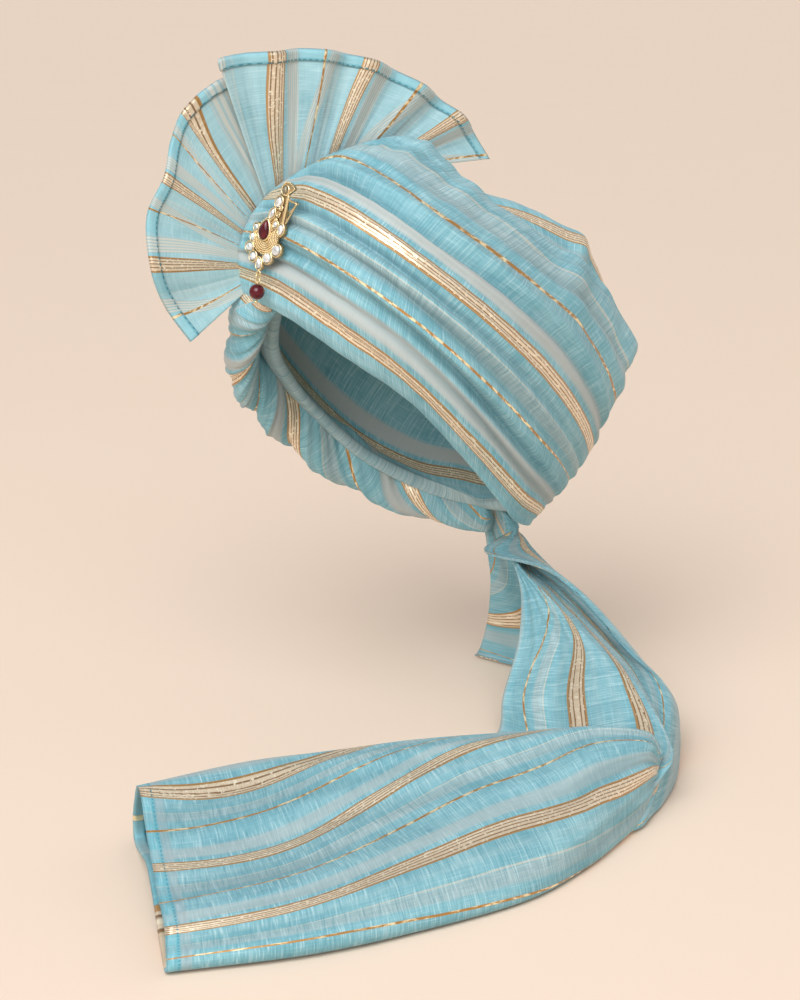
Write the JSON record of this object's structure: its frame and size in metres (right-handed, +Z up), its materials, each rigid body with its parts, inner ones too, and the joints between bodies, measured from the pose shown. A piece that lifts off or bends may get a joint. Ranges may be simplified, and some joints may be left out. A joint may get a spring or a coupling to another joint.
{
  "type": "tied turban",
  "caption": "Tied pagri turban of striped sheer cloth: pleated wound swaths, a twisted brow roll, a standing hemmed fan, a pinned brooch with a drop, and a long tail laid out to its hem.",
  "frame": {"origin": "middle of the wearer's head at the hat line, inside the wound cloth", "axes": "+Z up along the head, -Y towards the wearer's front, +X towards the wearer's left"},
  "size_m": [0.4446, 0.4787, 0.4156],
  "materials": {
    "cloth": "sheer slubbed weave in turquoise with woven gold and beige stripes",
    "gold": "warm polished gold, granulated round the ruby",
    "ruby": "deep red polished stone",
    "crystal": "clear stone over bright foil"
  },
  "bodies": {
    "root": {"left_wrap": "cloth", "right_wrap": "cloth", "brow_twist": "cloth", "fan": "cloth", "tail": "cloth", "brooch_setting": "gold", "ruby_stone": "ruby", "clear_stone_01": "crystal", "clear_stone_02": "crystal", "clear_stone_03": "crystal", "clear_stone_04": "crystal", "clear_stone_05": "crystal", "clear_stone_06": "crystal", "clear_stone_07": "crystal", "clear_stone_08": "crystal", "clear_stone_09": "crystal", "clear_stone_10": "crystal", "clear_stone_11": "crystal", "clear_stone_12": "crystal", "drop_link": "gold", "drop_cap": "gold", "drop_bead": "ruby", "brooch_pin": "gold"}
  },
  "joints": []
}
